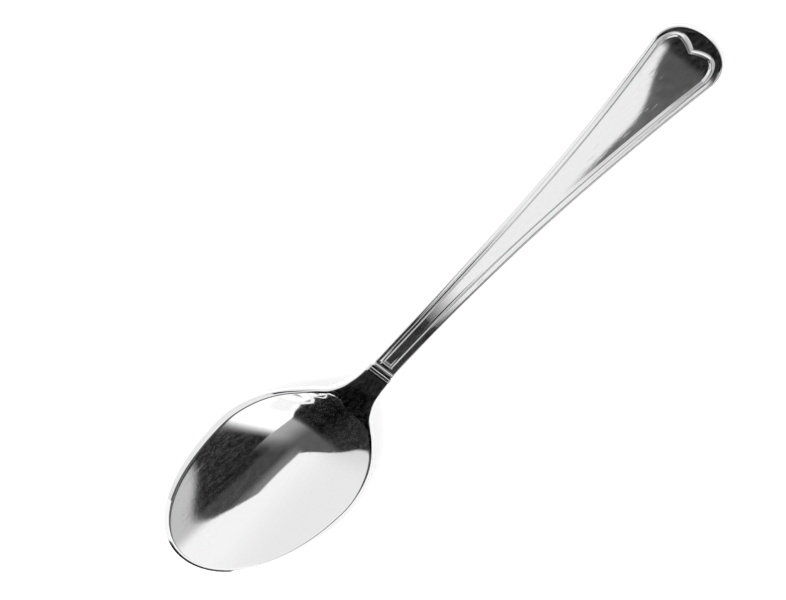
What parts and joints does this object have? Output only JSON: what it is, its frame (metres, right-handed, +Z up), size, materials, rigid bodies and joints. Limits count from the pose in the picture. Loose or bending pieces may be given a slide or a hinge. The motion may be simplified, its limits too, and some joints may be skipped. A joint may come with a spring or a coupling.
{
  "type": "teaspoon",
  "caption": "Steel teaspoon: shallow oval bowl, narrow neck with a beaded collar, and a flaring handle edged by a raised thread that ends in a heart.",
  "frame": {"origin": "on the table plane, under the middle of the spoon's length and width", "axes": "+X from the bowl towards the handle's end, +Y across the spoon, +Z up out of the open bowl"},
  "size_m": [0.14, 0.0306, 0.0067],
  "materials": {
    "polished_steel": "polished, with faint use marks"
  },
  "bodies": {
    "root": {"bowl": "polished_steel", "neck": "polished_steel", "collar": "polished_steel", "stem": "polished_steel", "handle": "polished_steel"}
  },
  "joints": []
}
